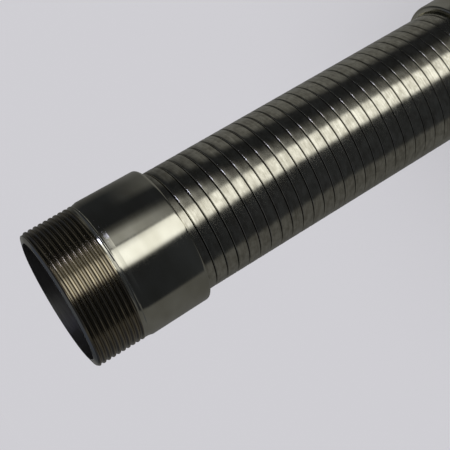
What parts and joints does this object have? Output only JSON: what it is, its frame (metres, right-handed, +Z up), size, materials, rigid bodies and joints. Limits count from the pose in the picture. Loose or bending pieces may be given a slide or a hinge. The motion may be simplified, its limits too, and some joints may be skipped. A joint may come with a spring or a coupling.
{
  "type": "interlocked metal vacuum hose",
  "caption": "Straight strip-wound interlocked steel hose with a male-threaded, smooth-collared pipe fitting brazed on each end.",
  "frame": {"origin": "middle of the lower rim, on the hose's axis, where it stands", "axes": "+Z up along the hose, from the lower fitting's mouth to the upper fitting's mouth"},
  "size_m": [0.0604, 0.0602, 0.254],
  "materials": {
    "turned_steel": "turned and polished",
    "strip_steel": "bright rolled strip"
  },
  "bodies": {
    "root": {"upper_end_fitting": "turned_steel", "lower_end_fitting": "turned_steel", "hose_wall": "strip_steel"}
  },
  "joints": []
}
